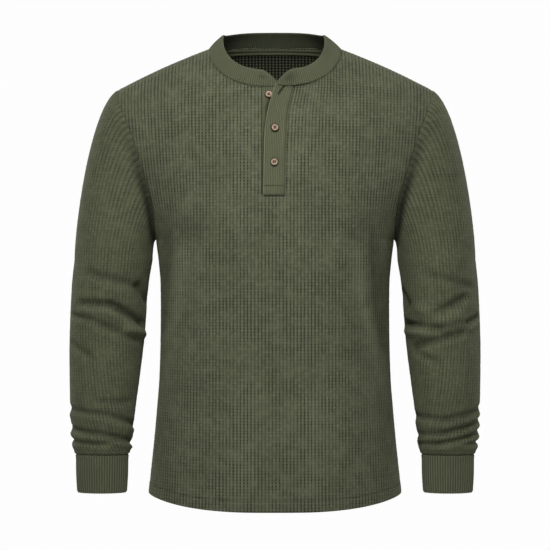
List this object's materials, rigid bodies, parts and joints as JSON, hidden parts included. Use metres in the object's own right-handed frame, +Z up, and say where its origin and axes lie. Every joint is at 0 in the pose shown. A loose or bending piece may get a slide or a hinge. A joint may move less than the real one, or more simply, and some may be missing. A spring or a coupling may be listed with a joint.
{
  "type": "henley shirt",
  "caption": "Long-sleeved henley shirt in waffle knit with a neckband, buttoned placket and rib cuffs, hollow as worn.",
  "frame": {"origin": "on the middle line, level with the high points of the shoulder seams, where the shirt hangs on the wearer's shoulders", "axes": "+Z up, -Y out of the front, +X to the wearer's left"},
  "size_m": [0.6382, 0.2447, 0.7417],
  "materials": {
    "knit": "waffle-knit cotton, olive drab",
    "rib": "rib-knit cotton, olive drab",
    "tape": "woven cotton tape, dark olive",
    "button": "moulded, horn brown, satin"
  },
  "bodies": {
    "root": {"front": "knit", "back": "knit", "sleeve_left": "knit", "sleeve_right": "knit", "cuff_left": "rib", "cuff_right": "rib", "collar_band": "rib", "placket_upper": "rib", "placket_under": "rib", "neck_tape": "tape", "button_top": "button", "button_middle": "button", "button_bottom": "button"}
  },
  "joints": []
}
